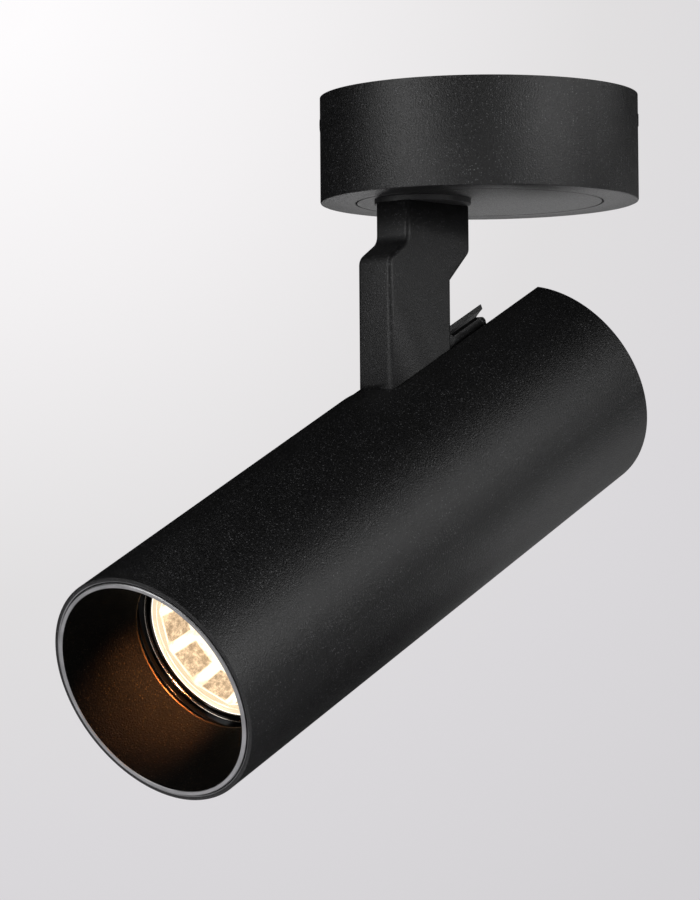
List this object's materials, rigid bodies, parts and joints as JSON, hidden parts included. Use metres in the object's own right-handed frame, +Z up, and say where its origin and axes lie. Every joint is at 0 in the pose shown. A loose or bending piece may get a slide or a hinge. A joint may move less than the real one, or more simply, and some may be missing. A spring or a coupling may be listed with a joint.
{
  "type": "ceiling spotlight",
  "caption": "Black surface mounted ceiling spotlight: round ceiling box, cranked arm that swivels, long tube that tilts, reflector lamp behind a cone.",
  "frame": {"origin": "centre of the ceiling plate's upper face, on the ceiling", "axes": "+Z up into the ceiling, -Y the horizontal direction the tube aims in, X along the tilt axis"},
  "size_m": [0.1, 0.2167, 0.2153],
  "materials": {
    "coated_aluminium": "fine textured black powder coat on aluminium",
    "coated_steel": "fine textured black powder coat on steel",
    "zinc_steel": "zinc plated steel",
    "black_steel": "black oxide steel",
    "brass": "bare brass",
    "nylon": "black nylon",
    "block_plastic": "white polyamide",
    "grommet_rubber": "black rubber",
    "lead_sleeve": "black silicone sleeve",
    "holder_ceramic": "unglazed steatite",
    "lamp_glass": "clear glass",
    "lamp_mirror": "pressed glass with a mirror coating",
    "ring_gloss": "gloss black",
    "contact_bronze": "spring bronze"
  },
  "bodies": {
    "canopy": {"ceiling_plate": "zinc_steel", "canopy_shell": "coated_aluminium", "canopy_disc": "coated_aluminium", "disc_screws": "zinc_steel", "side_screws": "black_steel", "cable_grommet": "grommet_rubber", "terminal_block": "block_plastic", "terminal_screws": "brass", "block_fixing_screws": "zinc_steel", "earth_screw": "brass", "earth_washer": "zinc_steel", "canopy_lead": "lead_sleeve"},
    "arm": {"swivel_collar": "nylon", "swivel_stud": "zinc_steel", "swivel_washer": "zinc_steel", "swivel_spring_washer": "zinc_steel", "swivel_nut": "zinc_steel", "arm": "coated_aluminium", "tilt_axle": "zinc_steel", "friction_washers": "nylon", "tilt_washers": "zinc_steel", "tilt_nuts": "zinc_steel", "arm_lead": "lead_sleeve", "stop_finger": "coated_steel", "finger_screw": "black_steel"},
    "head": {"tube_housing": "coated_aluminium", "rear_cap": "coated_aluminium", "cap_screws": "black_steel", "hinge_bracket": "zinc_steel", "bracket_screws": "zinc_steel", "can_screws": "zinc_steel", "lamp_can": "zinc_steel", "centring_ring": "coated_steel", "lampholder": "holder_ceramic", "holder_contacts": "contact_bronze", "holder_screws": "zinc_steel", "lamp_pins": "zinc_steel", "lamp_base": "holder_ceramic", "lamp_reflector": "lamp_mirror", "lamp_front_glass": "lamp_glass", "lamp_burner": "lamp_glass", "lamp_ring": "ring_gloss", "baffle": "coated_aluminium", "baffle_seal": "grommet_rubber", "head_lead": "lead_sleeve"}
  },
  "joints": [
    {"name": "swivel", "type": "hinge", "parent": "canopy", "child": "arm", "pos_m": [-0.0061, -0.02025, -0.0333], "axis": [0, 0, 1], "range_deg": [-175, 175]},
    {"name": "tilt", "type": "hinge", "parent": "arm", "child": "head", "pos_m": [-0.0061, -0.02025, -0.0996], "axis": [1, 0, 0], "range_deg": [-1, 63]}
  ]
}
